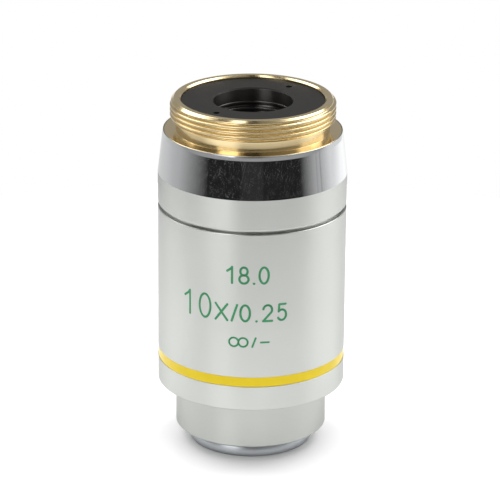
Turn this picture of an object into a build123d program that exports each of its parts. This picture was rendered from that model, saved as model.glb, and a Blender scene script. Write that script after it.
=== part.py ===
from build123d import *
import math
import os

# A low-power plan objective for phase contrast, as it screws into a microscope's nosepiece.
# Millimetres. The optical axis is +Z and the front face, towards the specimen, lies on z = 0.
# Radii are from the axis, and a height is a distance above the front face.

# Clearances
slip = 0.02
running_gap = 0.03

# Nosepiece mount: thread, neck, shoulder and skirt
thread_diameter = 25.0
thread_length = 2.6
neck_length = 1.74
neck_depth = 0.85
lead_chamfer = 0.63
shoulder_seat_width = 0.9
shoulder_thickness = 1.2
shoulder_overhang = 1.0
seat_relief_depth = 0.08
seat_relief_margin = 0.05
skirt_wall = 1.2
skirt_engagement = 4.8
mount_wall = 2.13
ledge_depth = 9.45

# Rear stop ring
rear_wall = 1.68
stop_ring_thickness = 2.1
stop_ring_recess = 0.45
aperture_step = 0.05
aperture_chamfer = 0.2
spanner_hole_radius = 0.5
spanner_hole_depth = 1.2
spanner_hole_inset = 2.2
spanner_hole_angle = 51.0

# Light-trap tube under the rear stop ring
baffle_length = 5.2
baffle_wall = 3.55
baffle_land = 0.4
baffle_groove = 0.6
baffle_groove_depth = 0.5
baffle_groove_count = 3

# Outer sleeves
sleeve_wall = 1.89
lip_height = 0.7
lip_wall = 0.1
lip_taper = 0.13
cone_length = 5.9
satin_band_length = 4.66
parting_groove_width = 0.66
parting_groove_depth = 0.35
main_sleeve_bottom = 9.74
main_sleeve_lip = 2.0
edge_break = 0.15

# Enamel colour band
band_bottom = 13.56
band_width = 1.58
band_groove_depth = 0.2
band_recess = 0.07

# Nose sleeve and front cell
nose_wall = 2.02
nose_bottom = 2.46
nose_lip = 1.2
nose_flange_gap = 0.07
nose_flange_thickness = 1.5
nose_edge_break = 0.2
tip_step = 2.15
tip_chamfer = 0.25
spigot_clearance = 0.3
front_cell_wall = 1.98
front_ledge = 1.0
front_countersink = 0.3

# Lens tube
tube_end_wall = 1.88
tube_thread_wall = 0.78
tube_flange_gap = 0.3
tube_flange_thickness = 1.6
shim_thickness = 0.3
thread_runout = 0.3

# Grub screws that lock the lens tube in the mount
grub_screw_radius = 1.0
grub_screw_count = 3
grub_screw_depth = 5.8
grub_screw_inset = 0.3
hex_key_size = 0.9
hex_key_depth = 1.0

# Lenses, from the front. Each face is named by its radius of curvature.
front_lens_recess = 0.96
front_lens_thickness = 4.2
front_lens_hollow = 29.7
front_lens_back = 17.4
front_lens_land = 0.7
front_air_gap = 2.4

lower_flint_face = 127.5
lower_cement_face = 32.9
lower_back_face = 32.9
lower_flint_thickness = 1.4
lower_crown_thickness = 4.0
doublet_air_gap = 0.8
upper_front_face = 59.5
upper_cement_face = 35.0
upper_back_face = 127.5
upper_crown_thickness = 3.6
upper_flint_thickness = 1.4
group_air_gap = 6.5

rear_front_face = 12.0
rear_cement_face = 30.0
rear_hollow = 12.0
rear_crown_thickness = 4.4
rear_flint_thickness = 1.6
rear_lens_land = 1.1
back_focal_gap = 4.85

# Cells and rings that hold the lenses
cell_step = 0.3
doublet_cell_wall = 1.58
rear_cell_wall = 2.38
lens_seat_width = 0.6
cell_ledge = 0.8
rear_cell_ledge = 1.4
ring_thickness = 0.8
stack_ring_thickness = 1.2
key_slot_width = 0.9
key_slot_depth = 0.4

# Phase plate in the back focal plane
phase_cell_wall = 1.68
phase_ledge = 0.8
phase_plate_thickness = 1.5
phase_film_inner = 2.5
phase_film_outer = 3.3
phase_film_thickness = 0.05

# Radii of the mount and the sleeves, which follow from the thread
thread_radius = thread_diameter / 2
neck_radius = thread_radius - neck_depth
shoulder_radius = thread_radius + shoulder_seat_width
relief_radius = thread_radius + seat_relief_margin
skirt_radius = shoulder_radius - shoulder_overhang
skirt_bore_radius = skirt_radius - skirt_wall
sleeve_bore_radius = skirt_radius + slip
body_radius = sleeve_bore_radius + sleeve_wall
lip_top_radius = shoulder_radius + slip + lip_wall
cone_top_radius = lip_top_radius + lip_taper
stop_ring_radius = thread_radius - rear_wall - slip
spanner_circle_radius = stop_ring_radius - spanner_hole_inset

# Radii of the lens tube and what it carries, inwards from the mount's bore
tube_bore_radius = neck_radius - mount_wall
tube_radius = tube_bore_radius - slip
tube_flange_radius = skirt_bore_radius - tube_flange_gap
tube_thread_radius = tube_radius - tube_thread_wall - slip
baffle_bore_radius = tube_radius - baffle_wall
rear_aperture_radius = baffle_bore_radius + aperture_step
spigot_radius = tube_radius - tube_end_wall - slip
nose_radius = tube_radius + running_gap + nose_wall
nose_flange_radius = sleeve_bore_radius - nose_flange_gap
tip_radius = nose_radius - tip_step
grub_screw_length = skirt_radius - tube_radius - grub_screw_inset

# Radii of the cells and the lenses
cell_radius = tube_thread_radius - cell_step
front_lens_rim = spigot_radius - front_cell_wall - slip
front_lens_clear = front_lens_rim - front_lens_land
front_ring_bore = front_lens_rim - lens_seat_width
front_aperture_radius = front_lens_rim - front_ledge
doublet_rim = cell_radius - doublet_cell_wall - slip
seat_radius = doublet_rim - lens_seat_width
rear_rim = cell_radius - rear_cell_wall - slip
rear_clear = rear_rim - rear_lens_land
rear_seat_radius = rear_rim - lens_seat_width
phase_plate_radius = tube_thread_radius - phase_cell_wall - slip
phase_clear_radius = phase_plate_radius - phase_ledge


def rise(radius, height):
    """Depth of a spherical face of this radius at a height from the axis."""
    return radius - math.sqrt(radius**2 - height**2)


# Heights of the lenses and their cells, built up from the front lens
front_lens_top = front_lens_recess + front_lens_thickness
front_land = front_lens_recess - rise(front_lens_hollow, front_lens_clear)
front_ring_bottom = front_lens_top - rise(front_lens_back, front_ring_bore)
front_ring_top = front_ring_bottom + ring_thickness

lower_bottom = front_lens_top + front_air_gap
lower_cement = lower_bottom + lower_flint_thickness
lower_top = lower_cement + lower_crown_thickness
upper_bottom = lower_top + doublet_air_gap
upper_cement = upper_bottom + upper_crown_thickness
upper_top = upper_cement + upper_flint_thickness
lower_seat = lower_bottom + rise(lower_flint_face, seat_radius)
spacer_bottom = lower_top - rise(lower_back_face, seat_radius)
spacer_top = upper_bottom + rise(upper_front_face, seat_radius)
doublet_ring_bottom = upper_top - rise(upper_back_face, seat_radius)
doublet_cell_bottom = lower_seat - cell_ledge
doublet_cell_top = doublet_ring_bottom + ring_thickness

rear_bottom = upper_top + group_air_gap
rear_cement = rear_bottom + rear_crown_thickness
rear_top = rear_cement + rear_flint_thickness
rear_seat = rear_bottom + rise(rear_front_face, rear_seat_radius)
rear_land = rear_top + rise(rear_hollow, rear_clear)
rear_cell_bottom = rear_seat - rear_cell_ledge
rear_cell_top = rear_land + ring_thickness

stack_ring_top = rear_cell_top + stack_ring_thickness
phase_plane = rear_top + back_focal_gap
phase_plate_top = phase_plane + phase_plate_thickness
phase_cell_top = phase_plate_top + ring_thickness

# Heights of the tube, the mount and the sleeves. The shoulder comes 49.76 above the front face,
# which with a working distance of 10.24 makes the parfocal distance of 60.
tube_bottom = nose_bottom + nose_lip
spigot_top = doublet_cell_bottom - spigot_clearance
tube_flange_bottom = phase_cell_top
tube_flange_top = tube_flange_bottom + tube_flange_thickness
mount_ledge = tube_flange_top + shim_thickness
shoulder_height = mount_ledge + ledge_depth
shoulder_bottom = shoulder_height - shoulder_thickness
mount_top = shoulder_height + neck_length + thread_length + lead_chamfer
stop_ring_top = mount_top - stop_ring_recess
stop_ring_bottom = stop_ring_top - stop_ring_thickness
tube_top = stop_ring_bottom - baffle_length
grub_screw_height = shoulder_height - grub_screw_depth
cone_bottom = shoulder_height - lip_height - cone_length
groove_top = cone_bottom - satin_band_length
main_sleeve_top = groove_top - parting_groove_width
skirt_bottom = main_sleeve_top - skirt_engagement


def turned(*points):
    """A solid turned on the optical axis from its half section, given as (radius, height) corners."""
    return revolve(Plane.XZ * make_face(Polyline(*points, close=True)), Axis.Z)


def tube(outer, inner, bottom, top):
    """A plain ring between two heights."""
    return turned((inner, bottom), (outer, bottom), (outer, top), (inner, top))


def ball(radius, centre):
    """A full sphere on the axis, which shapes a lens face."""
    return Pos(0, 0, centre) * Sphere(radius)


def key_slots(ring, inner, outer, top):
    """Cuts the two slots across a ring's upper face that a pin key turns it by."""
    middle = (inner + outer) / 2
    slot = Box(2 * (outer - inner), key_slot_width, 2 * key_slot_depth)
    for side in (-1, 1):
        ring -= Pos(side * middle, 0, top) * slot
    return ring


def retaining_ring(outer, inner, bottom, top):
    """A slotted ring that clamps a lens in its cell."""
    return key_slots(tube(outer, inner, bottom, top), inner, outer, top)


def cemented_pair(whole, cement):
    """Splits a ground blank at its cemented face into the crown, inside the sphere, and the flint."""
    return whole & cement, whole - cement


def nosepiece_mount():
    """Brass mount: thread, neck, shoulder and the skirt that carries both sleeves and the lens tube."""
    mount = turned(
        (skirt_bore_radius, skirt_bottom),
        (skirt_radius, skirt_bottom),
        (skirt_radius, shoulder_bottom),
        (shoulder_radius, shoulder_bottom),
        (shoulder_radius, shoulder_height),
        (relief_radius, shoulder_height),
        (relief_radius, shoulder_height - seat_relief_depth),
        (neck_radius, shoulder_height - seat_relief_depth),
        (neck_radius, shoulder_height + neck_length),
        (thread_radius, shoulder_height + neck_length),
        (thread_radius, mount_top - lead_chamfer),
        (thread_radius - lead_chamfer, mount_top),
        (stop_ring_radius + slip, mount_top),
        (stop_ring_radius + slip, stop_ring_bottom),
        (tube_bore_radius, stop_ring_bottom),
        (tube_bore_radius, mount_ledge),
        (skirt_bore_radius, mount_ledge),
    )
    for place in grub_screw_places():
        mount -= place * Cylinder(grub_screw_radius + slip, 2 * skirt_radius, align=BASE)
    return mount


def rear_stop_ring():
    """Black ring that closes the rear of the mount around the exit aperture."""
    ring = tube(stop_ring_radius, rear_aperture_radius, stop_ring_bottom, stop_ring_top)
    rim = ring.edges().filter_by(GeomType.CIRCLE).group_by(Axis.Z)[-1].sort_by(SortBy.RADIUS)[0]
    ring = chamfer(rim, aperture_chamfer)
    drill = Cylinder(spanner_hole_radius, 2 * spanner_hole_depth)
    for turn in (spanner_hole_angle, spanner_hole_angle + 180):
        ring -= Rot(0, 0, turn) * Pos(spanner_circle_radius, 0, stop_ring_top) * drill
    return ring


def baffle_tube():
    """Black tube with square light-trap grooves, between the lens tube and the rear stop ring."""
    baffle = tube(tube_radius, baffle_bore_radius, tube_top, stop_ring_bottom)
    groove_top = stop_ring_bottom - baffle_land
    for _ in range(baffle_groove_count):
        groove_bottom = groove_top - baffle_groove
        baffle -= tube(baffle_bore_radius + baffle_groove_depth, 0, groove_bottom, groove_top)
        groove_top = groove_bottom - baffle_land
    return baffle


def upper_sleeve():
    """Upper sleeve: lip around the shoulder, polished cone, satin band and the parting groove."""
    groove_floor = body_radius - parting_groove_depth
    return turned(
        (sleeve_bore_radius, main_sleeve_top),
        (groove_floor, main_sleeve_top),
        (groove_floor, groove_top),
        (body_radius - edge_break, groove_top),
        (body_radius, groove_top + edge_break),
        (body_radius, cone_bottom),
        (cone_top_radius, cone_bottom + cone_length),
        (lip_top_radius, shoulder_height),
        (shoulder_radius + slip, shoulder_height),
        (shoulder_radius + slip, shoulder_bottom),
        (sleeve_bore_radius, shoulder_bottom),
    )


def main_sleeve():
    """Main sleeve: screwed up on the mount's skirt, with a groove for the colour band."""
    groove_floor = body_radius - band_groove_depth
    return turned(
        (nose_radius + running_gap, main_sleeve_bottom),
        (body_radius - edge_break, main_sleeve_bottom),
        (body_radius, main_sleeve_bottom + edge_break),
        (body_radius, band_bottom),
        (groove_floor, band_bottom),
        (groove_floor, band_bottom + band_width),
        (body_radius, band_bottom + band_width),
        (body_radius, main_sleeve_top - edge_break),
        (body_radius - edge_break, main_sleeve_top),
        (sleeve_bore_radius, main_sleeve_top),
        (sleeve_bore_radius, main_sleeve_bottom + main_sleeve_lip),
        (nose_radius + running_gap, main_sleeve_bottom + main_sleeve_lip),
    )


def colour_band():
    """Enamel that fills the band groove to a little under the surface."""
    floor = body_radius - band_groove_depth
    return tube(body_radius - band_recess, floor, band_bottom, band_bottom + band_width)


def nose_sleeve():
    """Nose sleeve: clamped under the lens tube, with a flange on the main sleeve's lip."""
    flange_bottom = main_sleeve_bottom + main_sleeve_lip
    flange_top = flange_bottom + nose_flange_thickness
    return turned(
        (spigot_radius + running_gap, nose_bottom),
        (nose_radius - nose_edge_break, nose_bottom),
        (nose_radius, nose_bottom + nose_edge_break),
        (nose_radius, flange_bottom),
        (nose_flange_radius, flange_bottom),
        (nose_flange_radius, flange_top),
        (tube_radius + running_gap, flange_top),
        (tube_radius + running_gap, tube_bottom),
        (spigot_radius + running_gap, tube_bottom),
    )


def front_cell():
    """Tip of the objective: holds the front lens and screws into the lens tube."""
    return turned(
        (front_aperture_radius + front_countersink, 0),
        (tip_radius - tip_chamfer, 0),
        (tip_radius, tip_chamfer),
        (tip_radius, nose_bottom),
        (spigot_radius, nose_bottom),
        (spigot_radius, spigot_top),
        (front_lens_rim + slip, spigot_top),
        (front_lens_rim + slip, front_land),
        (front_aperture_radius, front_land),
        (front_aperture_radius, front_countersink),
    )


def front_lens():
    """Thick meniscus, hollow towards the specimen, with a flat land around the hollow."""
    blank = tube(front_lens_rim, 0, front_land, front_lens_top)
    blank &= ball(front_lens_back, front_lens_top - front_lens_back)
    return blank - ball(front_lens_hollow, front_lens_recess - front_lens_hollow)


def lens_tube():
    """Blackened tube that holds the whole lens stack and hangs from the mount by its flange."""
    return turned(
        (spigot_radius + slip, tube_bottom),
        (tube_radius, tube_bottom),
        (tube_radius, tube_flange_bottom),
        (tube_flange_radius, tube_flange_bottom),
        (tube_flange_radius, tube_flange_top),
        (tube_radius, tube_flange_top),
        (tube_radius, tube_top),
        (tube_thread_radius + slip, tube_top),
        (tube_thread_radius + slip, rear_cell_top - thread_runout),
        (cell_radius + slip, rear_cell_top - thread_runout),
        (cell_radius + slip, doublet_cell_bottom),
        (spigot_radius + slip, doublet_cell_bottom),
    )


def parfocal_shim():
    """Ground shim that sets the parfocal distance, between the tube flange and the mount."""
    return tube(tube_flange_radius, tube_bore_radius, tube_flange_top, mount_ledge)


def grub_screw_places():
    """Places of the grub screws, each pointing out from the lens tube."""
    places = []
    for turn in range(grub_screw_count):
        heading = Rot(0, 0, turn * 360 / grub_screw_count)
        places.append(heading * Pos(tube_radius, 0, grub_screw_height) * Rot(0, 90, 0))
    return places


def grub_screws():
    """Headless screws with a hexagon socket, hidden under the upper sleeve."""
    screw = Cylinder(grub_screw_radius, grub_screw_length, align=BASE)
    socket = extrude(RegularPolygon(hex_key_size / 2, 6, major_radius=False), hex_key_depth)
    screw -= Pos(0, 0, grub_screw_length - hex_key_depth) * socket
    return Compound([place * screw for place in grub_screw_places()])


def lower_doublet():
    """Flint and crown of the lower cemented pair, flint in front."""
    blank = tube(doublet_rim, 0, lower_bottom, lower_top)
    blank &= ball(lower_flint_face, lower_bottom + lower_flint_face)
    blank &= ball(lower_back_face, lower_top - lower_back_face)
    return cemented_pair(blank, ball(lower_cement_face, lower_cement + lower_cement_face))


def upper_doublet():
    """Crown and flint of the upper cemented pair, crown in front."""
    blank = tube(doublet_rim, 0, upper_bottom, upper_top)
    blank &= ball(upper_front_face, upper_bottom + upper_front_face)
    blank &= ball(upper_back_face, upper_top - upper_back_face)
    return cemented_pair(blank, ball(upper_cement_face, upper_cement - upper_cement_face))


def rear_doublet():
    """Crown and flint of the thick rear meniscus, with a flat land around its hollow."""
    blank = tube(rear_rim, 0, rear_bottom, rear_land)
    blank &= ball(rear_front_face, rear_bottom + rear_front_face)
    blank -= ball(rear_hollow, rear_top + rear_hollow)
    return cemented_pair(blank, ball(rear_cement_face, rear_cement - rear_cement_face))


def doublet_cell():
    """Cell shared by the two doublets, which rest on its ledge."""
    return turned(
        (seat_radius, doublet_cell_bottom),
        (cell_radius, doublet_cell_bottom),
        (cell_radius, doublet_cell_top),
        (doublet_rim + slip, doublet_cell_top),
        (doublet_rim + slip, lower_seat),
        (seat_radius, lower_seat),
    )


def rear_cell():
    """Cell of the rear meniscus."""
    return turned(
        (rear_seat_radius, rear_cell_bottom),
        (cell_radius, rear_cell_bottom),
        (cell_radius, rear_cell_top),
        (rear_rim + slip, rear_cell_top),
        (rear_rim + slip, rear_seat),
        (rear_seat_radius, rear_seat),
    )


def phase_cell():
    """Cell that screws in above the lens stack and holds the phase plate in the focal plane."""
    return turned(
        (phase_clear_radius, stack_ring_top),
        (tube_thread_radius, stack_ring_top),
        (tube_thread_radius, phase_cell_top),
        (phase_plate_radius + slip, phase_cell_top),
        (phase_plate_radius + slip, phase_plane),
        (phase_clear_radius, phase_plane),
    )


def save(name, shape):
    """Writes one piece to its own STEP file."""
    shape.label = name
    export_step(shape, os.path.join("parts", name + ".step"))


BASE = (Align.CENTER, Align.CENTER, Align.MIN)
os.makedirs("parts", exist_ok=True)

save("nosepiece_mount", nosepiece_mount())
save("rear_stop_ring", rear_stop_ring())
save("baffle_tube", baffle_tube())
save("upper_sleeve", upper_sleeve())
save("main_sleeve", main_sleeve())
save("colour_band", colour_band())
save("nose_sleeve", nose_sleeve())
save("front_cell", front_cell())
save("lens_tube", lens_tube())
save("parfocal_shim", parfocal_shim())
save("grub_screws", grub_screws())

save("front_lens", front_lens())
save("front_lens_ring", retaining_ring(front_lens_rim, front_ring_bore, front_ring_bottom, front_ring_top))

save("doublet_cell", doublet_cell())
lower_crown, lower_flint = lower_doublet()
save("lower_crown", lower_crown)
save("lower_flint", lower_flint)
save("doublet_spacer", tube(doublet_rim, seat_radius, spacer_bottom, spacer_top))
upper_crown, upper_flint = upper_doublet()
save("upper_crown", upper_crown)
save("upper_flint", upper_flint)
save("doublet_ring", retaining_ring(doublet_rim, seat_radius, doublet_ring_bottom, doublet_cell_top))

save("group_spacer", tube(cell_radius, seat_radius, doublet_cell_top, rear_cell_bottom))
save("rear_cell", rear_cell())
rear_crown, rear_flint = rear_doublet()
save("rear_crown", rear_crown)
save("rear_flint", rear_flint)
save("rear_lens_ring", retaining_ring(rear_rim, rear_clear, rear_land, rear_cell_top))
save("stack_ring", retaining_ring(tube_thread_radius, phase_clear_radius, rear_cell_top, stack_ring_top))

save("phase_cell", phase_cell())
save("phase_plate", tube(phase_plate_radius, 0, phase_plane, phase_plate_top))
save("phase_film", tube(phase_film_outer, phase_film_inner, phase_plane - phase_film_thickness, phase_plane))
save("phase_ring", retaining_ring(phase_plate_radius, phase_clear_radius, phase_plate_top, phase_cell_top))
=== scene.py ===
import math
import bmesh
import bpy
from mathutils import Matrix, Vector


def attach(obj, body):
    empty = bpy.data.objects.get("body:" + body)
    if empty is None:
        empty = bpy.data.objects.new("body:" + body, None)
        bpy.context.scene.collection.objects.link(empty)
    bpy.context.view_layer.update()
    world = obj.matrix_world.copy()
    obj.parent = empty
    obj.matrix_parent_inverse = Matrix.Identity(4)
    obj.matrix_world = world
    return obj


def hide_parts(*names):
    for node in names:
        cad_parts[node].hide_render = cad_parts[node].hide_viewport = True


# A low-power plan objective for phase contrast, standing on its tip.
# The file goes through the object from the nosepiece thread down to the front lens, then through the
# lens stack inside, and ends with the table, the studio and the camera.
# Lengths are in millimetres, and MM makes them the frame's metres. Radii are from the optical axis.
# Angles are in degrees.
MM = 0.001

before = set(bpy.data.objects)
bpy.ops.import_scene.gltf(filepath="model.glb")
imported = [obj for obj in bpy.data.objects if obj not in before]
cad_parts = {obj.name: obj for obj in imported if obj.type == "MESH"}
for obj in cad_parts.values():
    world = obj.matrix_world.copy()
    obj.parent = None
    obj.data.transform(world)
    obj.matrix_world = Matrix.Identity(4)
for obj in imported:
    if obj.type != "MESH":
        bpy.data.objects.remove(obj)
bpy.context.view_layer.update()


# Nosepiece mount. One brass turning with the M25 x 0.75 thread, a neck, the shoulder that seats on the
# microscope and the skirt that the sleeves slide over. Left bare, so it is bright, with fine lathe marks.

SIDES = 256
ROUND_STEPS = 5
WELD = 0.00002

# Edge radii that deburring leaves: barely touched, broken, and eased for the fingers.
fine_edge = 0.03
broken_edge = 0.05
eased_edge = 0.1

shoulder_radius = 13.4
shoulder_height = 49.76
shoulder_thickness = 1.2
skirt_radius = 12.4
skirt_bore = 11.2
skirt_bottom = 33.04
neck_radius = 11.65
neck_top = 51.5
thread_radius = 12.5
thread_pitch = 0.75
thread_depth = 0.46
crest_share = 0.2
root_share = 0.16
thread_foot = 0.35
lead_start = 54.1
rim_height = 54.73
rim_radius = 11.87
rim_edge = 0.06
rim_chamfer = 0.25
ring_bore = 10.82
ring_seat = 52.18
tube_bore = 9.52
ledge_height = 40.31
rows_per_turn = 16


def linear(hex_colour):
    """An sRGB hex colour as linear red, green, blue and alpha."""
    shares = [int(hex_colour[at:at + 2], 16) / 255 for at in (1, 3, 5)]
    return (*[c / 12.92 if c <= 0.04045 else ((c + 0.055) / 1.055) ** 2.4 for c in shares], 1.0)


def rounded(*corners):
    """The half section (radius, height, edge) with each corner rounded by its own edge radius."""
    outline = []
    for at, (radius, height, edge) in enumerate(corners):
        corner = Vector((radius, height))
        if edge == 0:
            outline.append(corner)
            continue
        back = (Vector(corners[at - 1][:2]) - corner).normalized()
        ahead = (Vector(corners[(at + 1) % len(corners)][:2]) - corner).normalized()
        half = back.angle(ahead) / 2
        centre = corner + (back + ahead).normalized() * edge / math.sin(half)
        start = corner + back * edge / math.tan(half) - centre
        end = corner + ahead * edge / math.tan(half) - centre
        for step in range(ROUND_STEPS + 1):
            outline.append(centre + start.lerp(end, step / ROUND_STEPS).normalized() * edge)
    return outline


def turn_point(radius, height, turn):
    """A point at this radius and height, turned about the axis by a share of a full turn."""
    angle = 2 * math.pi * turn
    return (radius * math.cos(angle) * MM, radius * math.sin(angle) * MM, height * MM)


def turned(outline):
    """A closed half section turned about the axis. Its map runs around the piece and along the section, in mm."""
    rows = [*outline, outline[0]]
    along = [0.0]
    for here, there in zip(rows, rows[1:]):
        along.append(along[-1] + (there - here).length)
    reach = max(point.x for point in outline)
    points, faces, unrolled = [], [], []
    for side in range(SIDES + 1):
        for point in rows:
            points.append(turn_point(point.x, point.y, side / SIDES))
    for side in range(SIDES):
        for row in range(len(outline)):
            near = side * len(rows) + row
            far = near + len(rows)
            faces.append((near, far, far + 1, near + 1))
            left, right = (2 * math.pi * reach * edge / SIDES for edge in (side, side + 1))
            low, high = along[row], along[row + 1]
            unrolled += [(left, low), (right, low), (right, high), (left, high)]
    return points, faces, unrolled


def joined(*shapes):
    """Several sheets as one list of points, faces and map corners."""
    points, faces, unrolled = [], [], []
    for more_points, more_faces, more_unrolled in shapes:
        first = len(points)
        points += more_points
        faces += [tuple(first + corner for corner in face) for face in more_faces]
        unrolled += more_unrolled
    return points, faces, unrolled


def make_mesh(name, shape):
    """A smooth mesh with its seams welded and its faces turned outwards."""
    points, faces, unrolled = shape
    mesh = bpy.data.meshes.new(name)
    mesh.from_pydata(points, [], faces)
    corners = mesh.uv_layers.new(name="unrolled").data
    for corner, place in zip(corners, unrolled):
        corner.uv = place
    build = bmesh.new()
    build.from_mesh(mesh)
    bmesh.ops.remove_doubles(build, verts=build.verts, dist=WELD * MM)
    bmesh.ops.recalc_face_normals(build, faces=build.faces)
    build.to_mesh(mesh)
    build.free()
    mesh.shade_smooth()
    return mesh


def place_object(name, data):
    """Adds an object with this mesh, lamp or camera to the scene."""
    placed = bpy.data.objects.new(name, data)
    bpy.context.scene.collection.objects.link(placed)
    return placed


def seat(name, mesh, finish, slot, *nodes, sharp=False):
    """Puts a piece on the object in place of its nodes. Flat faces stay flat, and sharp edges can be kept."""
    piece = place_object(name, mesh)
    mesh.materials.append(finish)
    piece.modifiers.new("flat faces", "WEIGHTED_NORMAL").keep_sharp = sharp
    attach(piece, "root")
    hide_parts(*nodes)


def add(tree, kind, inputs, **settings):
    """Adds a node. Each input takes a value, or the output socket that feeds it."""
    node = tree.nodes.new(kind)
    for name, value in settings.items():
        setattr(node, name, value)
    for socket, value in inputs.items():
        if isinstance(value, bpy.types.NodeSocket):
            tree.links.new(value, node.inputs[socket])
        else:
            node.inputs[socket].default_value = value
    return node


def new_finish(name, colour, roughness, **shader_inputs):
    """A material with one shader. Returns the material, its node tree and the shader."""
    finish = bpy.data.materials.new(name)
    finish.use_nodes = True
    tree = finish.node_tree
    tree.nodes.clear()
    inputs = {"Base Color": linear(colour), "Roughness": roughness}
    inputs.update({socket.replace("_", " "): value for socket, value in shader_inputs.items()})
    shader = add(tree, "ShaderNodeBsdfPrincipled", inputs)
    add(tree, "ShaderNodeOutputMaterial", {"Surface": shader.outputs["BSDF"]})
    return finish, tree, shader


def unrolled_place(tree):
    """The place on the unrolled surface, in mm: around the piece, and along its section."""
    return add(tree, "ShaderNodeUVMap", {}, uv_map="unrolled").outputs["UV"]


def object_place(tree):
    """The place in the object, in metres."""
    return add(tree, "ShaderNodeTexCoord", {}).outputs["Object"]


def turning_marks(tree, shader, place, pitch, height):
    """Fine rings left by the lathe tool, of this pitch and height in mm."""
    along = add(tree, "ShaderNodeSeparateXYZ", {"Vector": place}).outputs["Y"]
    rings = add(tree, "ShaderNodeTexNoise", {"W": along, "Scale": 1 / pitch, "Detail": 2.0},
                noise_dimensions="1D")
    bump = add(tree, "ShaderNodeBump", {"Height": rings.outputs["Fac"], "Strength": 1.0, "Distance": height * MM})
    tree.links.new(bump.outputs["Normal"], shader.inputs["Normal"])


def draw_out_light(tree, shader):
    """Rings around a turned surface draw its reflections out along the axis."""
    tangent = add(tree, "ShaderNodeTangent", {}, direction_type="RADIAL", axis="Z")
    tree.links.new(tangent.outputs["Tangent"], shader.inputs["Tangent"])
    shader.inputs["Anisotropic Rotation"].default_value = 0.25


def patches(tree, place, size, detail):
    """Soft patches of this size, in the unit of the place."""
    return add(tree, "ShaderNodeTexNoise", {"Vector": place, "Scale": 1 / size, "Detail": detail}).outputs["Fac"]


def patchy_polish(tree, shader, share, least, most):
    """Roughness that varies with the patches."""
    rough = add(tree, "ShaderNodeMapRange", {"Value": share, "To Min": least, "To Max": most})
    tree.links.new(rough.outputs["Result"], shader.inputs["Roughness"])


def brass_finish():
    """Bright turned brass: warm yellow metal, sharp reflections broken into rings by the lathe marks."""
    finish, tree, shader = new_finish("turned_brass", "#DAC69A", 0.15, Metallic=1.0, Anisotropic=0.6)
    place = unrolled_place(tree)
    draw_out_light(tree, shader)
    # The tool's feed is about 0.05 mm, drawn three times as coarse so that it shows.
    turning_marks(tree, shader, place, 0.15, 0.0022)
    # Handling has dulled the surface in soft patches a few millimetres wide.
    patchy_polish(tree, shader, patches(tree, place, 10 / 3, 3.0), 0.12, 0.19)
    return finish


def thread_radius_at(height, turn):
    """Radius of the right-hand thread's surface, cut off by the lead chamfer and the foot of the thread."""
    phase = (height / thread_pitch - turn) % 1.0
    from_root = abs(phase - 0.5) * 2
    flank = (1 - from_root - root_share) / (1 - root_share - crest_share)
    flank = min(max(flank, 0.0), 1.0)
    soft = flank * flank * (3 - 2 * flank)
    ridge = thread_radius - thread_depth * (flank + soft) / 2
    lead = thread_radius - max(height - lead_start, 0) * (thread_radius - rim_radius) / (rim_height - lead_start)
    foot = thread_radius - max(neck_top + thread_foot - height, 0)
    return min(ridge, lead, foot)


def thread_sheet():
    """The threaded surface, with rows that follow the helix and are held at its two plain ends."""
    low, high = neck_top, rim_height - rim_edge
    rows = math.ceil((high - low) / thread_pitch + 1) * rows_per_turn
    points, faces, unrolled = [], [], []
    for side in range(SIDES + 1):
        for row in range(rows + 1):
            turn = side / SIDES
            height = low + thread_pitch * (row / rows_per_turn + turn - 1)
            height = min(max(height, low), high)
            points.append(turn_point(thread_radius_at(height, turn), height, turn))
    for side in range(SIDES):
        for row in range(rows):
            near = side * (rows + 1) + row
            far = near + rows + 1
            corners = (near, far, far + 1, near + 1)
            faces.append(corners)
            for corner in corners:
                unrolled.append((2 * math.pi * thread_radius * (side + (corner >= far)) / SIDES,
                                 points[corner][2] / MM))
    return points, faces, unrolled


def mount_sheet():
    """The rest of the mount, open where the thread goes."""
    top = rim_height - rim_edge
    outline = rounded(
        (thread_radius_at(neck_top, 0), neck_top, 0),
        (neck_radius, neck_top, broken_edge),
        (neck_radius, shoulder_height, broken_edge),
        (shoulder_radius, shoulder_height, eased_edge),
        (shoulder_radius, shoulder_height - shoulder_thickness, eased_edge),
        (skirt_radius, shoulder_height - shoulder_thickness, 0),
        (skirt_radius, skirt_bottom, eased_edge),
        (skirt_bore, skirt_bottom, eased_edge),
        (skirt_bore, ledge_height, 0),
        (tube_bore, ledge_height, eased_edge),
        (tube_bore, ring_seat, 0),
        (ring_bore, ring_seat, 0),
        (ring_bore, rim_height - rim_chamfer, fine_edge),
        (ring_bore + rim_chamfer, rim_height, fine_edge),
        (rim_radius, rim_height, rim_edge / 2),
        (thread_radius_at(top, 0), top, 0),
    )
    points, faces, unrolled = turned(outline)
    last_row = len(outline) - 1
    kept = [at for at in range(len(faces)) if at % len(outline) != last_row]
    return points, [faces[at] for at in kept], [unrolled[4 * at + corner] for at in kept for corner in range(4)]


brass = brass_finish()
mount_mesh = make_mesh("nosepiece_mount_turned", joined(mount_sheet(), thread_sheet()))
seat("nosepiece_mount_turned", mount_mesh, brass, "turned_brass", "nosepiece_mount")


# Rear stop ring. Black anodised aluminium, pressed into the mount behind the thread, with two round holes
# for a pin key. Its face is even and matt, and its bore is smoother and takes a soft grey sheen.

stop_radius = 10.8
stop_top = 54.28
stop_bottom = 52.18
aperture_radius = 6.0
aperture_chamfer = 0.2
key_hole_radius = 0.5
key_hole_depth = 1.2
key_circle_radius = 8.6
key_hole_turn = 51 / 360
key_hole_sides = 48
sharp_angle = 40
stop_edge = 0.08
bore_skin = 0.01


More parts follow.
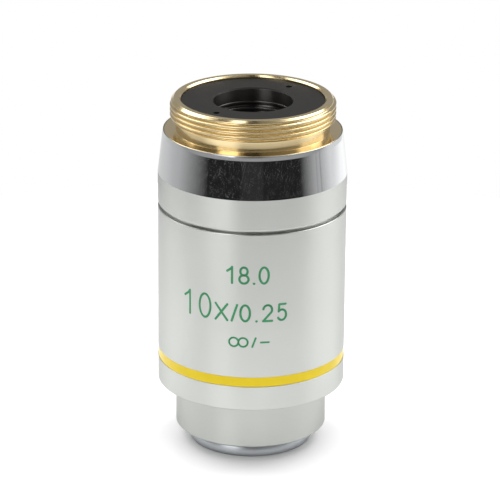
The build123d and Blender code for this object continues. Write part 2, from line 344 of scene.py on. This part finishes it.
def grain(tree, shader, share, height):
    """Relief of this height in mm, raised where the share is high."""
    bump = add(tree, "ShaderNodeBump", {"Height": share, "Strength": 1.0, "Distance": height * MM})
    tree.links.new(bump.outputs["Normal"], shader.inputs["Normal"])


def patchy_colour(tree, shader, share, here, there):
    """A colour that varies between two linear colours with the patches."""
    mix = add(tree, "ShaderNodeMix", {"Factor": share, "A": here, "B": there}, data_type="RGBA")
    tree.links.new(mix.outputs["Result"], shader.inputs["Base Color"])


def shaded(hex_colour, share):
    """A linear colour, this many times as bright."""
    return tuple(share * part for part in linear(hex_colour))


def anodised_finish():
    """Black anodised aluminium: dyed oxide over a fine blasted grain, so dark grey with a weak, broad sheen."""
    colour = "#1C1B1A"
    finish, tree, shader = new_finish("black_anodised_aluminium", colour, 0.5, Specular_IOR_Level=0.14)
    place = object_place(tree)
    # The blasted grain is about 0.05 mm, drawn at 0.15 mm so that it shows.
    grain(tree, shader, patches(tree, place, 0.15 * MM, 2.0), 0.004)
    # The dye takes a little unevenly.
    patchy_colour(tree, shader, patches(tree, place, 2.5 * MM, 2.0), linear(colour), shaded(colour, 1.25))
    return finish


def turned_black_finish():
    """Black anodising over a turned bore: darker and smoother, with light drawn out along the axis."""
    finish, tree, shader = new_finish("black_anodised_turned_bore", "#5E5C5A", 0.34, Metallic=1.0,
                                      Anisotropic=0.85)
    draw_out_light(tree, shader)
    # The tool's feed is about 0.05 mm, drawn three times as coarse so that it shows.
    turning_marks(tree, shader, unrolled_place(tree), 0.15, 0.002)
    return finish


def drilled(mesh, radius, depth, top, circle, turns):
    """The mesh with blind holes in its upper face, at these shares of a full turn."""
    blank = place_object(mesh.name, mesh)
    drills = []
    for turn in turns:
        hole = bmesh.new()
        bmesh.ops.create_cone(hole, cap_ends=True, segments=key_hole_sides, radius1=radius * MM,
                              radius2=radius * MM, depth=2 * depth * MM,
                              matrix=Matrix.Translation(turn_point(circle, top, turn)))
        drill_mesh = bpy.data.meshes.new("drill")
        hole.to_mesh(drill_mesh)
        hole.free()
        drills.append(place_object("drill", drill_mesh))
        cut = blank.modifiers.new("hole", "BOOLEAN")
        cut.object = drills[-1]
        cut.solver = "EXACT"
    cut_mesh = bpy.data.meshes.new_from_object(blank.evaluated_get(bpy.context.evaluated_depsgraph_get()))
    for spent in (blank, *drills):
        bpy.data.objects.remove(spent)
    cut_mesh.set_sharp_from_angle(angle=math.radians(sharp_angle))
    return cut_mesh


anodised = anodised_finish()
turned_black = turned_black_finish()
stop_outline = rounded(
    (aperture_radius, stop_bottom, fine_edge),
    (stop_radius, stop_bottom, broken_edge),
    (stop_radius, stop_top, stop_edge),
    (aperture_radius + aperture_chamfer, stop_top, fine_edge),
    (aperture_radius, stop_top - aperture_chamfer, fine_edge),
)
stop_mesh = make_mesh("rear_stop_ring_turned", turned(stop_outline))
stop_mesh.materials.append(anodised)
stop_mesh = drilled(stop_mesh, key_hole_radius, key_hole_depth, stop_top, key_circle_radius,
                    (key_hole_turn, key_hole_turn + 0.5))
seat("rear_stop_ring_turned", stop_mesh, turned_black, "black_anodised", "rear_stop_ring", sharp=True)
for face in stop_mesh.polygons:
    face.material_index = int(face.center.xy.length < (aperture_radius + bore_skin) * MM)


# Baffle tube. Black tube between the lens tube and the stop ring, with three square grooves in its bore
# that trap stray light. Only the polished edges of the lands between the grooves catch the light.

baffle_radius = 9.5
baffle_bore = 5.95
baffle_bottom = 46.98
baffle_land = 0.4
baffle_groove = 0.6
baffle_groove_depth = 0.5
baffle_grooves = 3
baffle_edge = 0.1

baffle_corners = [
    (baffle_bore, baffle_bottom, baffle_edge),
    (baffle_radius, baffle_bottom, eased_edge),
    (baffle_radius, stop_bottom, eased_edge),
    (baffle_bore, stop_bottom, baffle_edge),
]
groove_top = stop_bottom - baffle_land
for groove in range(baffle_grooves):
    groove_bottom = groove_top - baffle_groove
    baffle_corners += [
        (baffle_bore, groove_top, baffle_edge),
        (baffle_bore + baffle_groove_depth, groove_top, 0),
        (baffle_bore + baffle_groove_depth, groove_bottom, 0),
        (baffle_bore, groove_bottom, baffle_edge),
    ]
    groove_top = groove_bottom - baffle_land
baffle_mesh = make_mesh("baffle_tube_turned", turned(rounded(*baffle_corners)))
seat("baffle_tube_turned", baffle_mesh, turned_black, "black_anodised", "baffle_tube")


# Upper sleeve. Brass turned to a slightly tapered cone over a straight band, then chromium plated. The cone
# and the thin lip are polished like a mirror, with hairline scratches, and the band is satin.

body_radius = 14.31
cone_top_radius = 13.65
cone_top = 49.06
cone_bottom = 43.16
lip_radius = 13.52
lip_bore = 13.42
band_foot = 38.5
sleeve_split = 37.84
parting_depth = 0.35
sleeve_bore = 12.42
cone_foot_edge = 0.3
cone_top_edge = 0.04
groove_edge = 0.08
sleeve_edge = 0.12
scratch_width = 0.025


def satin_chrome_finish(name, colour):
    """Satin chromium plate: pale grey metal with a fine even grain, so reflections are soft bands of light."""
    finish, tree, shader = new_finish(name, colour, 0.32, Metallic=1.0, Anisotropic=0.75,
                                      Specular_Tint=linear("#D0D0D0"))
    place = unrolled_place(tree)
    draw_out_light(tree, shader)
    # The satin grain is about 0.05 mm, drawn at 0.2 mm so that it shows.
    grain(tree, shader, patches(tree, place, 0.2, 3.0), 0.0035)
    # The plate is a little smoother where hands and cloths have rubbed it.
    patchy_polish(tree, shader, patches(tree, place, 6.0, 2.0), 0.29, 0.35)
    return finish


def scratches(tree, place, length, slant, share):
    """A mask of hairline scratches, this long in mm and slanted by an angle in degrees."""
    slanted = add(tree, "ShaderNodeMapping", {"Vector": place, "Rotation": (0, 0, math.radians(slant)),
                                              "Scale": (length, scratch_width, 1)}, vector_type="TEXTURE")
    streaks = patches(tree, slanted.outputs["Vector"], 1.0, 1.0)
    mask = add(tree, "ShaderNodeMapRange", {"Value": streaks, "From Min": share, "From Max": share + 0.04})
    return mask.outputs["Result"]


def polished_chrome_finish():
    """Polished chromium plate: a mirror, with hairline scratches that light up against dark reflections."""
    finish, tree, shader = new_finish("polished_chromium_plate", "#CDCECF", 0.05, Metallic=1.0)
    place = unrolled_place(tree)
    both = add(tree, "ShaderNodeMath", {0: scratches(tree, place, 2.6, 74, 0.655),
                                        1: scratches(tree, place, 1.6, -38, 0.67)}, operation="MAXIMUM")
    patchy_polish(tree, shader, both.outputs["Value"], 0.06, 0.23)
    return finish


satin_chrome = satin_chrome_finish("satin_chromium_plate", "#C4C6C2")
polished_chrome = polished_chrome_finish()
upper_outline = rounded(
    (sleeve_bore, sleeve_split, 0),
    (body_radius - parting_depth, sleeve_split, 0),
    (body_radius - parting_depth, band_foot, groove_edge),
    (body_radius, band_foot, sleeve_edge),
    (body_radius, cone_bottom, cone_foot_edge),
    (cone_top_radius, cone_top, cone_top_edge),
    (lip_radius, shoulder_height, broken_edge),
    (lip_bore, shoulder_height, fine_edge),
    (lip_bore, shoulder_height - shoulder_thickness, 0),
    (sleeve_bore, shoulder_height - shoulder_thickness, 0),
)
upper_mesh = make_mesh("upper_sleeve_turned", turned(upper_outline))
upper_mesh.materials.append(satin_chrome)
seat("upper_sleeve_turned", upper_mesh, polished_chrome, "satin_chrome", "upper_sleeve")
for face in upper_mesh.polygons:
    height = face.center.z / MM
    face.material_index = int(cone_bottom < height < shoulder_height - broken_edge)


# Main sleeve. Straight chromium-plated brass tube, satin all over, screwed up on the mount's skirt until a
# narrow parting groove is left under the upper sleeve. Its edges are just broken.

main_bottom = 9.74
main_lip = 2.0
foot_edge = 0.2
nose_radius = 11.55
running_gap = 0.03
enamel_bottom = 13.56
enamel_width = 1.58
enamel_groove_depth = 0.2
enamel_recess = 0.07

main_outline = rounded(
    (nose_radius + running_gap, main_bottom, broken_edge),
    (body_radius, main_bottom, foot_edge),
    (body_radius, enamel_bottom, fine_edge),
    (body_radius - enamel_groove_depth, enamel_bottom, 0),
    (body_radius - enamel_groove_depth, enamel_bottom + enamel_width, 0),
    (body_radius, enamel_bottom + enamel_width, fine_edge),
    (body_radius, sleeve_split, sleeve_edge),
    (sleeve_bore, sleeve_split, broken_edge),
    (sleeve_bore, main_bottom + main_lip, 0),
    (nose_radius + running_gap, main_bottom + main_lip, broken_edge),
)
main_mesh = make_mesh("main_sleeve_turned", turned(main_outline))
seat("main_sleeve_turned", main_mesh, satin_chrome, "satin_chrome", "main_sleeve")


# Figures on the main sleeve. Plain numbers and signs, cut into the plate with a round-nosed tool and filled
# with green enamel that stands flush. Every stroke has round ends.

figure_height = 2.53
tall_figure_height = 3.7
figure_width = 1.36
tall_figure_width = 1.85
stroke_width = 0.36
thin_stroke_width = 0.3
stroke_depth = 0.05
stroke_crown = 0.008
upper_line = 30.2
middle_line = 24.2
lower_line = 20.1
ring_sign_radius = 0.7
end_steps = 8


def arc(x, y, across, up, start, end, steps=28):
    """Points along part of an ellipse, in the figure's own box one wide and one high. Angles in degrees."""
    angles = [math.radians(start + (end - start) * step / steps) for step in range(steps + 1)]
    return [(x + across * math.cos(angle), y + up * math.sin(angle)) for angle in angles]


figures = {
    "0": [arc(0, 0.5, 0.5, 0.5, 0, 360)],
    "1": [[(-0.42, 0.74), (-0.05, 0.88), (0.12, 1.0), (0.12, 0.0)]],
    "2": [arc(0, 0.7, 0.48, 0.3, 170, -28) + [(-0.5, 0.0), (0.5, 0.0)]],
    "5": [[(0.42, 1.0), (-0.3, 1.0)], [(-0.3, 1.0)] + arc(0, 0.33, 0.49, 0.33, 138, -150)],
    "8": [arc(0, 0.75, 0.4, 0.25, 0, 360), arc(0, 0.26, 0.5, 0.26, 0, 360)],
    "x": [[(-0.5, 0.0), (0.5, 1.0)], [(-0.5, 1.0), (0.5, 0.0)]],
    "/": [[(-0.5, 0.0), (0.5, 1.0)]],
    "-": [[(-0.5, 0.5), (0.5, 0.5)]],
    ".": [[(-0.02, 0.0), (0.02, 0.0)]],
}


def stroke_solid(points, width):
    """One stroke between two points of the unrolled sleeve, round-ended and wrapped onto it."""
    start, end = Vector(points[0]), Vector(points[1])
    forward = (end - start).normalized()
    sideways = Vector((-forward.y, forward.x))
    stations = []
    for step in range(end_steps + 1):
        turn = math.radians(90 * step / end_steps)
        stations.append((start - forward * math.cos(turn) * width / 2, math.sin(turn)))
    bends = math.ceil((end - start).length / stroke_width)
    stations += [(start.lerp(end, bend / bends), 1.0) for bend in range(1, bends)]
    for step in range(end_steps, -1, -1):
        turn = math.radians(90 * step / end_steps)
        stations.append((end + forward * math.cos(turn) * width / 2, math.sin(turn)))
    section = ((-0.5, -stroke_depth), (-0.5, 0), (-0.25, stroke_crown), (0.25, stroke_crown), (0.5, 0),
               (0.5, -stroke_depth))
    solid, faces, unrolled = [], [], []
    for middle, share in stations:
        for side, rise in section:
            place = middle + sideways * side * width * share
            turn = place.x / (2 * math.pi * body_radius) - 0.25
            solid.append(turn_point(body_radius + rise, place.y, turn))
    for station in range(len(stations) - 1):
        for at in range(len(section)):
            near = station * len(section)
            far = near + len(section)
            after = (at + 1) % len(section)
            faces.append((near + at, far + at, far + after, near + after))
            unrolled += [(0, 0)] * 4
    return solid, faces, unrolled


def figure_strokes(text, centre, foot, width, height, line):
    """The strokes of one figure, centred at a distance around the sleeve from its front."""
    solids = []
    for stroke in figures[text]:
        placed = [(centre + x * width, foot + y * height) for x, y in stroke]
        for ends in zip(placed, placed[1:]):
            solids.append(stroke_solid(ends, line))
    return solids


def enamel_finish(name, colour, roughness):
    """Stoved enamel: deep even colour under a glossy skin, with a slight orange-peel ripple."""
    finish, tree, shader = new_finish(name, colour, roughness, Specular_IOR_Level=0.3)
    place = object_place(tree)
    # The ripple of the poured enamel is about 0.4 mm long.
    grain(tree, shader, patches(tree, place, 0.4 * MM, 1.0), 0.004)
    # The pigment is a touch deeper where the enamel lies thicker.
    patchy_colour(tree, shader, patches(tree, place, 3 * MM, 2.0), shaded(colour, 0.86), linear(colour))
    return finish


strokes = []
for text, centre in (("1", -3.1), ("8", -1.15), (".", 0.35), ("0", 1.85)):
    strokes += figure_strokes(text, centre, upper_line, figure_width, figure_height, stroke_width)
for text, centre in (("1", -10.2), ("0", -7.25)):
    strokes += figure_strokes(text, centre, middle_line, tall_figure_width, tall_figure_height, stroke_width)
for text, centre, width in (("x", -4.55, 1.83), ("/", -2.55, 0.8), ("0", -0.93, 1.42), (".", 0.77, 1.0),
                            ("2", 2.44, 1.36), ("5", 4.62, 1.36)):
    strokes += figure_strokes(text, centre, middle_line, width, figure_height, stroke_width)
for text, centre, width in (("0", -2.62, 2 * ring_sign_radius), ("0", -1.22, 2 * ring_sign_radius),
                            ("/", 0.42, 0.5), ("-", 2.05, 1.2)):
    strokes += figure_strokes(text, centre, lower_line, width, 2 * ring_sign_radius, thin_stroke_width)
green_enamel = enamel_finish("green_filling_enamel", "#3D9161", 0.4)
figures_mesh = make_mesh("engraved_figures", joined(*strokes))
figures_mesh.materials.append(green_enamel)
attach(place_object("engraved_figures", figures_mesh), "root")


# Colour band. Yellow enamel run into a shallow groove of the main sleeve and stoved, a little below the
# metal on each side. It is the code colour of this power.

yellow_enamel = enamel_finish("yellow_band_enamel", "#E4C80E", 0.3)
enamel_radius = body_radius - enamel_recess
band_outline = rounded(
    (body_radius - enamel_groove_depth, enamel_bottom, 0),
    (enamel_radius, enamel_bottom, broken_edge),
    (enamel_radius, enamel_bottom + enamel_width, broken_edge),
    (body_radius - enamel_groove_depth, enamel_bottom + enamel_width, 0),
)
band_mesh = make_mesh("colour_band_turned", turned(band_outline))
seat("colour_band_turned", band_mesh, yellow_enamel, "colour_enamel", "colour_band")


# Nose sleeve. Satin chromium-plated brass cup under the main sleeve, held by a flange inside it. Its plate
# is painted a shade greyer than the body's, as painted shade from the table near it, and its lower edge is
# chamfered.

nose_bottom = 2.46
nose_chamfer = 0.2
nose_flange_radius = 12.35
nose_flange_top = 13.24
nose_floor = 3.66
tube_gap_radius = 9.53
spigot_gap_radius = 7.63
nose_foot_edge = 0.06

nose_outline = rounded(
    (spigot_gap_radius, nose_bottom, 0),
    (nose_radius - nose_chamfer, nose_bottom, nose_foot_edge),
    (nose_radius, nose_bottom + nose_chamfer, eased_edge),
    (nose_radius, main_bottom + main_lip, 0),
    (nose_flange_radius, main_bottom + main_lip, broken_edge),
    (nose_flange_radius, nose_flange_top, eased_edge),
    (tube_gap_radius, nose_flange_top, broken_edge),
    (tube_gap_radius, nose_floor, 0),
    (spigot_gap_radius, nose_floor, 0),
)
# Painted shade: the nose gets the body's satin chrome in a darker grey, which stands for the table's shade near
# it.
nose_chrome_painted_shade = satin_chrome_finish("satin_chromium_plate_of_nose_painted_shade", "#BBBDB9")
nose_mesh = make_mesh("nose_sleeve_turned", turned(nose_outline))
seat("nose_sleeve_turned", nose_mesh, nose_chrome_painted_shade, "satin_chrome", "nose_sleeve")


# Front cell. The tip, turned from brass and plated with smoother chromium whose grey is painted darker, as
# painted shade from the table around the tip. It screws into the lens tube through the nose sleeve, and its
# countersunk aperture shows the front lens.

tip_radius = 9.4
tip_chamfer = 0.25
spigot_radius = 7.6
spigot_top = 6.61
front_lens_bore = 5.62
front_land = 0.55
front_aperture = 4.6
front_countersink = 0.3


def tip_plate_painted_shade_finish():
    """Fine-turned chromium plate: smoother than the sleeves, with rings from the lathe, and painted a darker grey
    as painted shade from the table around the tip.
    """
    # Painted shade: the grey is darker than the sleeves' and stands for the table's shade around the tip.
    finish, tree, shader = new_finish("fine_turned_chromium_plate_painted_shade", "#AEB1B5", 0.3, Metallic=1.0)
    place = unrolled_place(tree)
    # The tool's feed is about 0.04 mm, drawn four times as coarse so that it shows.
    turning_marks(tree, shader, place, 0.16, 0.0018)
    # Setting it down on its tip has dulled it in patches of about 4 mm.
    patchy_polish(tree, shader, patches(tree, place, 4.0, 2.0), 0.27, 0.36)
    return finish


tip_outline = rounded(
    (front_aperture + front_countersink, 0, broken_edge),
    (tip_radius, 0, tip_chamfer),
    (tip_radius, nose_bottom, 0),
    (spigot_radius, nose_bottom, 0),
    (spigot_radius, spigot_top, eased_edge),
    (front_lens_bore, spigot_top, broken_edge),
    (front_lens_bore, front_land, 0),
    (front_aperture, front_land, 0),
    (front_aperture, front_countersink, fine_edge),
)
tip_mesh = make_mesh("front_cell_turned", turned(tip_outline))
seat("front_cell_turned", tip_mesh, tip_plate_painted_shade_finish(), "tip_chrome", "front_cell")


# Lens tube, cells, spacers and rings. They hold the lens stack out of sight: the tube and the cells are
# blackened brass, the rings and spacers are black anodised, and the shim is ground bare brass.

def blackened_brass_finish():
    """Black-oxidised brass: near black with a brown cast where the oxide is thin over the turned metal."""
    finish, tree, shader = new_finish("black_oxidised_brass", "#2A2622", 0.45, Metallic=1.0)
    # The oxide thins in soft patches of about 1.5 mm.
    share = patches(tree, object_place(tree), 1.5 * MM, 4.0)
    patchy_colour(tree, shader, share, linear("#1F1D1B"), linear("#3A3129"))
    patchy_polish(tree, shader, share, 0.38, 0.55)
    return finish


def ground_finish(name, colour, roughness):
    """Ground bare metal: small hidden parts with a fine grinding grain."""
    finish, tree, shader = new_finish(name, colour, roughness, Metallic=1.0)
    # The grinding grain is about 0.1 mm.
    grain(tree, shader, patches(tree, object_place(tree), 0.1 * MM, 2.0), 0.003)
    return finish


def dress(finish, slot, *nodes):
    """Gives nodes that keep the frame's own mesh their finish."""
    for node in nodes:
        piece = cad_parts[node]
        piece.data.materials.clear()
        piece.data.materials.append(finish)


dress(blackened_brass_finish(), "blackened_brass", "lens_tube", "doublet_cell", "rear_cell", "phase_cell")
dress(anodised, "black_anodised", "front_lens_ring", "doublet_spacer", "doublet_ring", "group_spacer",
      "rear_lens_ring", "stack_ring", "phase_ring")
dress(ground_finish("ground_brass", "#D9BC80", 0.3), "turned_brass", "parfocal_shim")
dress(ground_finish("black_oxidised_steel", "#3A3A3C", 0.35), "screw_steel", "grub_screws")


# Lenses and phase plate. Ground, polished and coated glass: crowns and flints cemented in pairs, and a plate
# in the back focal plane that carries a grey ring of thin metal.

def coated_glass_finish(name, tint, index, coating):
    """Optical glass with a quarter-wave coating: clear, with a faint coloured reflection."""
    finish, tree, shader = new_finish(name, tint, 0.0, IOR=index, Transmission_Weight=1.0,
                                      Specular_Tint=linear(coating))
    # A trace of dust and wiping marks dulls the polish by very little, in patches of about 0.8 mm.
    dust = patches(tree, object_place(tree), 0.8 * MM, 5.0)
    haze = add(tree, "ShaderNodeMapRange", {"Value": dust, "From Min": 0.5, "From Max": 0.8, "To Max": 0.06})
    tree.links.new(haze.outputs["Result"], shader.inputs["Roughness"])
    return finish


def film_finish():
    """Evaporated metal film: a thin neutral grey that dims what is seen through it."""
    finish, tree, shader = new_finish("evaporated_metal_film", "#5E6064", 0.12, Metallic=1.0)
    # Its density varies by very little, over about 0.5 mm.
    share = patches(tree, object_place(tree), 0.5 * MM, 2.0)
    patchy_colour(tree, shader, share, linear("#585A5E"), linear("#64666A"))
    return finish


crown_glass = coated_glass_finish("coated_crown_glass", "#F6FBF7", 1.52, "#9A86C8")
flint_glass = coated_glass_finish("coated_flint_glass", "#F8F8EE", 1.64, "#86B89A")
dress(crown_glass, "coated_glass", "front_lens", "lower_crown", "upper_crown", "rear_crown", "phase_plate")
dress(flint_glass, "coated_glass", "lower_flint", "upper_flint", "rear_flint")
dress(film_finish(), "absorbing_film", "phase_film")


# Table. A round of plain white paper under the objective, a hair below the tip so that their faces don't
# meet. It takes the soft shade of the tip and ends where the white tent goes on.

table_radius = 120
table_gap = 0.02
table_white = "#F3F3F3"

table_mesh = bpy.data.meshes.new("table")
disc = bmesh.new()
bmesh.ops.create_circle(disc, cap_ends=True, segments=128, radius=table_radius * MM)
disc.to_mesh(table_mesh)
disc.free()
table = place_object("table", table_mesh)
table.location.z = -table_gap * MM
paper = bpy.data.materials.new("white_paper")
paper.use_nodes = True
tree = paper.node_tree
tree.nodes.clear()
sheet = add(tree, "ShaderNodeBsdfDiffuse", {"Color": linear(table_white)})
add(tree, "ShaderNodeOutputMaterial", {"Surface": sheet.outputs["BSDF"]})
table_mesh.materials.append(paper)


# Studio. A white tent with two thin poles at the right, and a dark gap in front where the camera stands.
# Each ring lists the light that a reflection finds at an angle around the object, in degrees from the
# front, to the right, where 1 is plain white, and each border the angles above the table over which one
# ring gives way to the next. To the eye the tent is plain white.

wall_light = 0.6
wall_rise = 10
roof_light = 1.4
roof_rise = 60
tent_glow = 3.0
wall = 1.0
dim_wall = 0.6
dark_gap = 0.02
camera_body = 0.035
pole = 0.25
low_ring = (
    (-180, wall), (-100, dim_wall), (-55, dark_gap), (-14, dark_gap), (-12, camera_body), (12, camera_body),
    (14, dark_gap), (60, dark_gap), (84, dim_wall), (85, pole), (86, dim_wall), (90, dim_wall), (91, pole),
    (92, dim_wall), (110, wall), (180, wall),
)
room = 0.4
dim_room = 0.2
camera_front = 0.05
left_softbox = 3.0
right_softbox = 2.0
high_ring = (
    (-180, room), (-95, room), (-85, dim_room), (-60, dim_room), (-55, room), (-50, left_softbox),
    (-25, left_softbox), (-20, room), (-10, camera_front), (10, camera_front), (15, dim_room), (70, room),
    (80, right_softbox), (125, right_softbox), (130, room), (180, room),
)
table_top = 0.8
lit_left = 1.6
lit_right = 1.4
table_ring = (
    (-180, table_top), (-80, table_top), (-55, lit_left), (-30, lit_left), (-15, table_top),
    (70, table_top), (95, lit_right), (150, lit_right), (180, table_top),
)
horizon = 0.45
table_edge = (-14, -12)
gap_top = (-2.5, -0.5)
horizon_top = (6, 9)


def grey(level):
    """A neutral light at this level, where 1 is plain white, as a share of the tent's glow."""
    return (*[level / tent_glow] * 3, 1.0)


def ring_ramp(tree, around, ring):
    """A ramp of the ring's light over the angle around the object."""
    ramp = add(tree, "ShaderNodeValToRGB", {"Fac": around})
    stops = ramp.color_ramp.elements
    while len(stops) > 1:
        stops.remove(stops[0])
    for at, (angle, level) in enumerate(ring):
        share = (angle + 180) / 360
        stop = stops[0] if at == 0 else stops.new(share)
        stop.position = share
        stop.color = grey(level)
    return ramp.outputs["Color"]


world = bpy.data.worlds.new("studio_tent")
bpy.context.scene.world = world
world.use_nodes = True
tree = world.node_tree
tree.nodes.clear()
direction = add(tree, "ShaderNodeTexCoord", {}).outputs["Generated"]
split = add(tree, "ShaderNodeSeparateXYZ", {"Vector": direction})
front = add(tree, "ShaderNodeMath", {0: split.outputs["Y"], 1: -1.0}, operation="MULTIPLY")
angle = add(tree, "ShaderNodeMath", {0: split.outputs["X"], 1: front.outputs["Value"]}, operation="ARCTAN2")
around = add(tree, "ShaderNodeMapRange", {"Value": angle.outputs["Value"], "From Min": -math.pi,
                                          "From Max": math.pi}).outputs["Result"]
rise = add(tree, "ShaderNodeMath", {0: split.outputs["Z"]}, operation="ARCSINE").outputs["Value"]


def above(tree, rise, start, end):
    """0 below the first angle above the table and 1 over the second, both in degrees."""
    share = add(tree, "ShaderNodeMapRange", {"Value": rise, "From Min": math.radians(start),
                                             "From Max": math.radians(end)})
    return share.outputs["Result"]


view = ring_ramp(tree, around, table_ring)
for border, colour in ((table_edge, ring_ramp(tree, around, low_ring)), (gap_top, grey(horizon)),
                       (horizon_top, ring_ramp(tree, around, high_ring))):
    view = add(tree, "ShaderNodeMix", {"Factor": above(tree, rise, *border), "A": view, "B": colour},
               data_type="RGBA").outputs["Result"]
mirrored = add(tree, "ShaderNodeBackground", {"Color": view, "Strength": tent_glow})
plain = add(tree, "ShaderNodeBackground", {"Color": linear("#FFFFFF"), "Strength": 1.0})
light = add(tree, "ShaderNodeMapRange", {"Value": rise, "From Min": math.radians(wall_rise),
                                         "From Max": math.radians(roof_rise), "To Min": wall_light,
                                         "To Max": roof_light})
soft = add(tree, "ShaderNodeBackground", {"Color": linear("#FFFFFF"), "Strength": light.outputs["Result"]})
path = add(tree, "ShaderNodeLightPath", {})
lit = add(tree, "ShaderNodeMixShader", {0: path.outputs["Is Glossy Ray"], 1: soft.outputs["Background"],
                                        2: mirrored.outputs["Background"]})
shown = add(tree, "ShaderNodeMath", {0: path.outputs["Is Camera Ray"], 1: path.outputs["Is Transmission Ray"]},
            operation="MAXIMUM")
final = add(tree, "ShaderNodeMixShader", {0: shown.outputs["Value"], 1: lit.outputs["Shader"],
                                          2: plain.outputs["Background"]})
add(tree, "ShaderNodeOutputWorld", {"Surface": final.outputs["Shader"]})


# Lamps. Two large softboxes above and behind, one on each side. Together they leave the soft shade on the
# table in front of the tip.

lamp_distance = 600
lamp_size = 400
lamp_glow = 3.2
lamp_rise = 50
lamps_around = {"softbox_behind_right": 125, "softbox_behind_left": -125}

for name, around in lamps_around.items():
    lamp = bpy.data.lights.new(name, "AREA")
    lamp.shape = "SQUARE"
    lamp.size = lamp_size * MM
    lamp.energy = lamp_glow * math.pi * (lamp_size * MM) ** 2
    turn = Matrix.Rotation(math.radians(around), 4, "Z") @ Matrix.Rotation(math.radians(90 - lamp_rise), 4, "X")
    place_object(name, lamp).matrix_world = turn @ Matrix.Translation((0, 0, lamp_distance * MM))


# Camera. Long lens at the photograph's angle, aimed a little above the middle of the objective, and turned
# by half a degree as the photograph is.

focal_length = 222.8
sensor_width = 36.0
camera_distance = 471.9
camera_rise = 20.26
camera_aim = 30.25
camera_shift_left = 0.285
camera_roll = 0.47

camera_data = bpy.data.cameras.new("camera")
camera_data.lens = focal_length
camera_data.sensor_width = sensor_width
camera_data.clip_start = 0.01
camera_data.clip_end = 10
camera = place_object("camera", camera_data)
tilt = math.radians(camera_rise)
place = Vector((-camera_shift_left, -camera_distance * math.cos(tilt),
                camera_aim + camera_distance * math.sin(tilt))) * MM
turn = Matrix.Rotation(math.radians(90) - tilt, 4, "X") @ Matrix.Rotation(math.radians(camera_roll), 4, "Z")
camera.matrix_world = Matrix.Translation(place) @ turn
bpy.context.scene.camera = camera
bpy.context.scene.view_settings.view_transform = "Standard"
